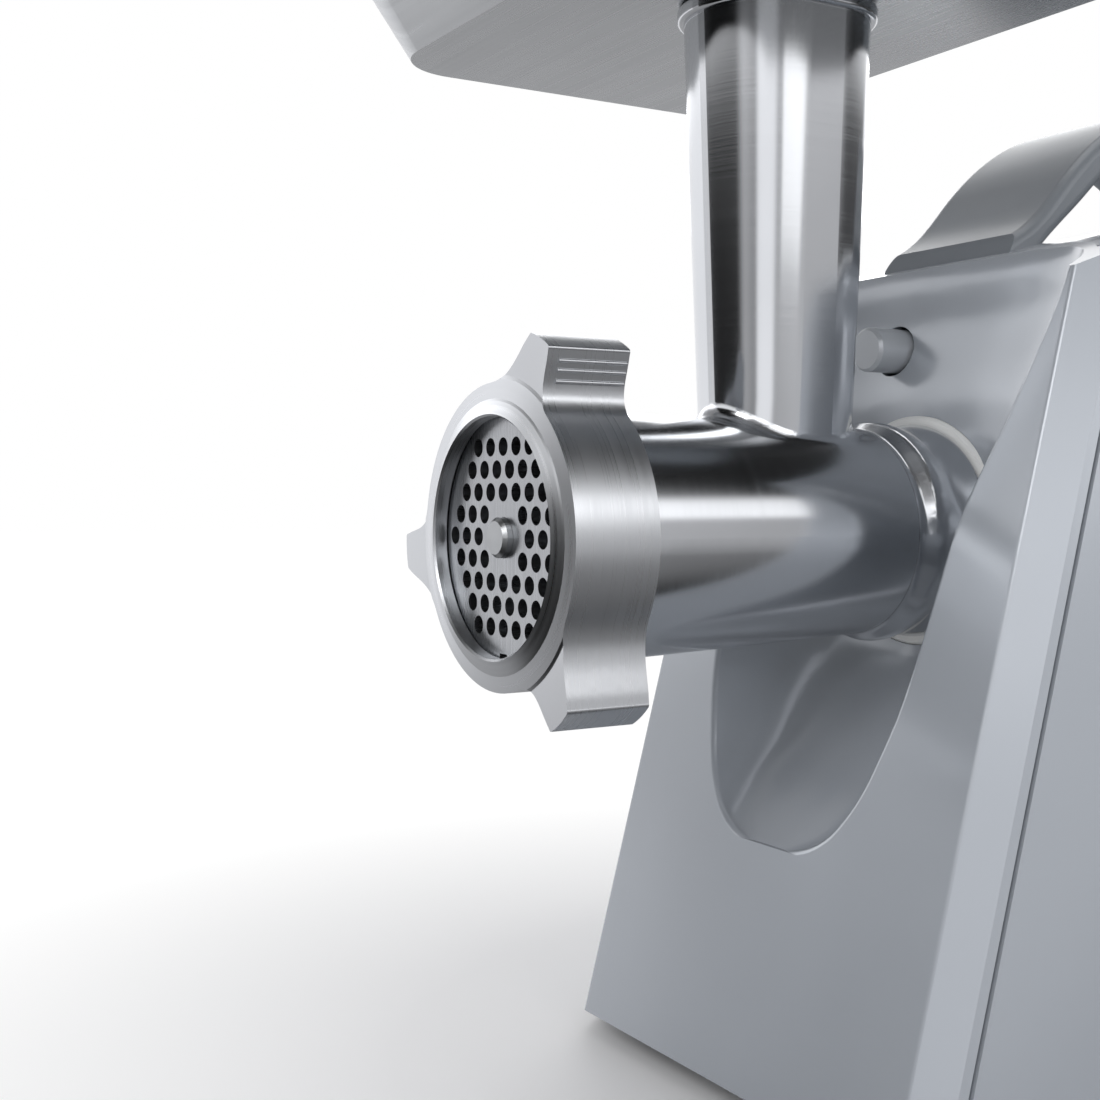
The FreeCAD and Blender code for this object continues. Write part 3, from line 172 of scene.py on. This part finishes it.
M = {
    "housing": plastic("housing_silver", (168, 173, 180), 0.22, 0.012, 2400.0, 0.000006, 0.08, 0.5, 0.18),
    "handle": plastic("handle_grey", (128, 133, 139), 0.38, 0.04, 1800.0, 0.00002, 0.15, 0.12, 0.10),
    "button": plastic("button_silver", (186, 190, 195), 0.28, 0.03, 2400.0, 0.00001, 0.08, 0.3, 0.25),
    "white": plastic("white_plastic", (226, 227, 226), 0.32, 0.02, 1800.0, 0.00001, 0.08, 0.1),
    "dark": plastic("dark_plastic", (46, 47, 50), 0.5, 0.12, 1600.0, 0.00004, 0.35),
    "darkbutton": plastic("button_dark", (62, 64, 68), 0.4, 0.08, 1600.0, 0.00003, 0.25),
    "pusher": plastic("pusher_grey", (70, 73, 77), 0.42, 0.08, 1500.0, 0.00003, 0.25),
    "rubber": plastic("rubber", (28, 28, 29), 0.78, 0.15, 1200.0, 0.00006, 0.5, spec=0.3),
    "nylon": plastic("nylon", (226, 221, 206), 0.45, 0.04, 1200.0, 0.00002, 0.2),
    "carbon": plastic("carbon", (26, 26, 26), 0.6, 0.2, 900.0, 0.00004, 0.4),
    "board": plastic("board", (44, 78, 52), 0.5, 0.1, 900.0, 0.00003, 0.3),
    "head": head_material(),
    "nut": metal("nut_turned", (205, 207, 210), 0.30, (8, 3400, 8), 0.03, 0.0),
    "tray": metal("tray_brushed", (196, 198, 200), 0.28, (9, 700, 9), 0.04),
    "plate": metal("plate_ground", (172, 174, 177), 0.28, (1800, 20, 30), 0.05),
    "knife": metal("knife_ground", (170, 172, 175), 0.22, (30, 20, 900), 0.08),
    "auger": metal("auger_cast", (176, 178, 180), 0.3, None, 0.07, 0.12),
    "steel": metal("steel_turned", (150, 151, 154), 0.28, (30, 1200, 30), 0.08),
    "alu": metal("alu_cast", (160, 162, 164), 0.42, None, 0.07, 0.25),
    "lamination": metal("lamination", (92, 92, 95), 0.45, (8, 1500, 8), 0.15),
    "copper": metal("copper", (196, 112, 66), 0.32, (8, 1200, 8), 0.12),
    "bronze": metal("bronze", (168, 132, 82), 0.4, None, 0.1, 0.1),
    "zinc": metal("zinc", (158, 160, 164), 0.36, None, 0.1, 0.05),
}
ASSIGN = {
    "front_shell": "housing", "left_shell": "housing", "right_shell": "housing", "carry_handle": "handle", "release_button": "button",
    "socket_ring": "white", "auger_driver": "white", "grinder_head": "head", "ring_nut": "nut", "filling_tray": "tray",
    "perforated_plate": "plate", "cutting_knife": "knife", "auger": "auger", "plate_key_pin": "steel", "thrust_washer": "steel",
    "food_pusher": "pusher", "pusher_cap": "pusher", "base_plate": "dark", "rubber_feet": "rubber", "base_screws": "steel",
    "control_bezel": "dark", "power_button": "darkbutton", "reverse_button": "darkbutton", "cord_gland": "dark", "cooling_fan": "dark",
    "motor_cradle": "dark", "brush_holders": "dark", "board_posts": "dark", "switch_board": "board", "power_switch": "dark",
    "reverse_switch": "dark", "driver_screw": "steel", "output_shaft": "steel", "layshaft": "steel", "rotor_shaft": "steel",
    "bearings": "steel", "gearbox_screws": "steel", "latch_spring": "steel", "spring_stop": "zinc", "output_bushes": "bronze",
    "layshaft_bushes": "bronze", "motor_pinion": "steel", "second_stage_pinion": "steel", "first_stage_gear": "nylon",
    "output_gear": "nylon", "gearbox_case": "alu", "gearbox_cover": "alu", "stator_stack": "lamination", "rotor_core": "lamination",
    "field_windings": "copper", "rotor_windings": "copper", "commutator": "copper", "carbon_brushes": "carbon",
    "rear_bracket": "zinc", "front_bracket": "zinc",
}
for name, ob in NODES.items():
    mat = M[ASSIGN.get(name, "steel")]
    ob.data.materials.clear()
    ob.data.materials.append(mat)

# ------------------------------------------------------------------ camera
AZ, EL = math.radians(59.44), math.radians(2.22)
d = Vector((-math.sin(AZ) * math.cos(EL), math.cos(AZ) * math.cos(EL), -math.sin(EL)))
r = Vector((math.cos(AZ), math.sin(AZ), 0.0))
up = r.cross(d)
cam_data = bpy.data.cameras.new("camera")
cam = bpy.data.objects.new("camera", cam_data)
scene.collection.objects.link(cam)
cam_data.sensor_width = 36.0
cam_data.lens = 1500.0 / 1100.0 * 36.0
cam_data.clip_start = 0.01
cam_data.clip_end = 50.0
rot = Matrix((r, up, -d)).transposed().to_4x4()
cam.matrix_world = Matrix.Translation(Vector((0.3156, -0.1714 + OY, 0.0110 + OZ))) @ rot
scene.camera = cam

# ------------------------------------------------------------------ world and lights
world = bpy.data.worlds.new("studio")
scene.world = world
world.use_nodes = True
nt = world.node_tree
nt.nodes.clear()
out = nt.nodes.new("ShaderNodeOutputWorld")
bg = nt.nodes.new("ShaderNodeBackground")
tc = nt.nodes.new("ShaderNodeTexCoord")


def wmath(op, a, b=None, c=None):
    n = nt.nodes.new("ShaderNodeMath")
    n.operation = op
    for i, x in enumerate((a, b, c)):
        if x is None:
            continue
        if isinstance(x, (int, float)):
            n.inputs[i].default_value = x
        else:
            nt.links.new(x, n.inputs[i])
    return n.outputs[0]


def wramp(fac, stops, mode="EASE"):
    n = nt.nodes.new("ShaderNodeValToRGB")
    n.color_ramp.interpolation = mode
    el = n.color_ramp.elements
    while len(el) < len(stops):
        el.new(0.5)
    for e, (p, g) in zip(el, stops):
        e.position = p
        e.color = (g, g, g * 1.01, 1.0)
    nt.links.new(fac, n.inputs["Fac"])
    return n.outputs["Color"]


sep = nt.nodes.new("ShaderNodeSeparateXYZ")
nt.links.new(tc.outputs["Generated"], sep.inputs["Vector"])
toward = (math.sin(AZ), -math.cos(AZ))
right = (math.cos(AZ), math.sin(AZ))
ux = wmath("ADD", wmath("MULTIPLY", sep.outputs["X"], toward[0]), wmath("MULTIPLY", sep.outputs["Y"], toward[1]))
wx = wmath("ADD", wmath("MULTIPLY", sep.outputs["X"], right[0]), wmath("MULTIPLY", sep.outputs["Y"], right[1]))
phi = wmath("ARCTAN2", wx, ux)                                  # 0 towards the camera, + to the right
frac = wmath("ADD", wmath("DIVIDE", phi, 2 * math.pi), 0.5)


def deg(a):
    return (a + 180.0) / 360.0


around = wramp(frac, [(0.0, 0.9), (deg(-114), 1.0), (deg(-107), 0.012), (deg(-54), 0.016), (deg(-40), 0.42), (deg(-22), 0.28), (deg(-15), 1.0), (deg(8), 1.0), (deg(16), 0.46), (deg(72), 0.54), (deg(84), 0.045), (deg(128), 0.08), (deg(142), 0.9), (1.0, 0.9)])
height = wmath("ADD", wmath("MULTIPLY", sep.outputs["Z"], 0.5), 0.5)


def zz(a):
    return 0.5 + 0.5 * math.sin(math.radians(a))


strip = wramp(height, [(0.0, 0.0), (zz(11), 0.0), (zz(15), 1.0), (zz(23), 1.0), (zz(30), 0.0), (1.0, 0.0)])
roofy = wramp(height, [(0.0, 0.75), (zz(-50), 0.30), (zz(-14), 0.42), (zz(-7), 1.0), (zz(9), 1.0), (zz(26), 0.62), (zz(38), 0.30), (zz(75), 0.24), (1.0, 0.5)])
mul = nt.nodes.new("ShaderNodeMix")
mul.data_type = "RGBA"
mul.blend_type = "MULTIPLY"
mul.inputs[0].default_value = 1.0
nt.links.new(around, mul.inputs[6])
nt.links.new(roofy, mul.inputs[7])
add = nt.nodes.new("ShaderNodeMix")
add.data_type = "RGBA"
add.blend_type = "ADD"
add.inputs[0].default_value = 1.0
nt.links.new(mul.outputs[2], add.inputs[6])
nt.links.new(strip, add.inputs[7])
nt.links.new(add.outputs[2], bg.inputs["Color"])
bg.inputs["Strength"].default_value = 1.15
plain = nt.nodes.new("ShaderNodeBackground")
plain.inputs["Color"].default_value = (1, 1, 1, 1)
plain.inputs["Strength"].default_value = 1.0
lp = nt.nodes.new("ShaderNodeLightPath")
mixs = nt.nodes.new("ShaderNodeMixShader")
nt.links.new(lp.outputs["Is Camera Ray"], mixs.inputs[0])
nt.links.new(bg.outputs[0], mixs.inputs[1])
nt.links.new(plain.outputs[0], mixs.inputs[2])
nt.links.new(mixs.outputs[0], out.inputs[0])


def area(name, pos, target, size, power, sx=None):
    ld = bpy.data.lights.new(name, "AREA")
    ld.energy = power
    ld.shape = "RECTANGLE"
    ld.size = size
    ld.size_y = sx or size
    lo = bpy.data.objects.new(name, ld)
    scene.collection.objects.link(lo)
    p, t = Vector(pos), Vector(target)
    lo.matrix_world = Matrix.Translation(p) @ (t - p).to_track_quat("-Z", "Y").to_matrix().to_4x4()
    return lo


CEN = (0.0, -0.02, 0.16)
area("key", (0.55, -1.15, 1.05), CEN, 0.7, 6.0)
area("side", (1.25, 0.15, 0.75), CEN, 0.9, 2.5)
area("top", (0.0, 0.1, 1.5), CEN, 1.1, 6.0)
area("back", (-1.0, 0.9, 0.9), CEN, 0.9, 4.0)

# ------------------------------------------------------------------ floor
me = bpy.data.meshes.new("floor")
bm = bmesh.new()
bmesh.ops.create_circle(bm, cap_ends=True, radius=6.0, segments=96)
bm.to_mesh(me)
bm.free()
floor = bpy.data.objects.new("floor", me)
scene.collection.objects.link(floor)
floor.location = (0, 0, -0.0004)
fm = Mat("floor", 0.0, 0.6)
fm.colour(fm.noise(3.0, 2.0), (0.86, 0.86, 0.865, 1), (0.89, 0.89, 0.895, 1))
fm.b.inputs["Specular IOR Level"].default_value = 0.2
rad = fm.add("ShaderNodeVectorMath", operation="LENGTH")
fm.link(fm.co.outputs["Object"], rad.inputs[0])
em = fm.add("ShaderNodeEmission")
em.inputs["Color"].default_value = (1, 1, 1, 1)
em.inputs["Strength"].default_value = 1.02
mixf = fm.add("ShaderNodeMixShader")
fm.link(fm.span(rad.outputs["Value"], 0.0, 1.0, 0.16, 0.36), mixf.inputs[0])
fm.link(fm.b.outputs[0], mixf.inputs[1])
fm.link(em.outputs[0], mixf.inputs[2])
fm.link(mixf.outputs[0], fm.nt.nodes["Material Output"].inputs["Surface"])
me.materials.append(fm.m)
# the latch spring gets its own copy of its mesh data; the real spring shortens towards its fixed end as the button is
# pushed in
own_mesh(NODES["latch_spring"])
floor.visible_glossy = False

scene.view_settings.view_transform = "Standard"
scene.view_settings.look = "None"
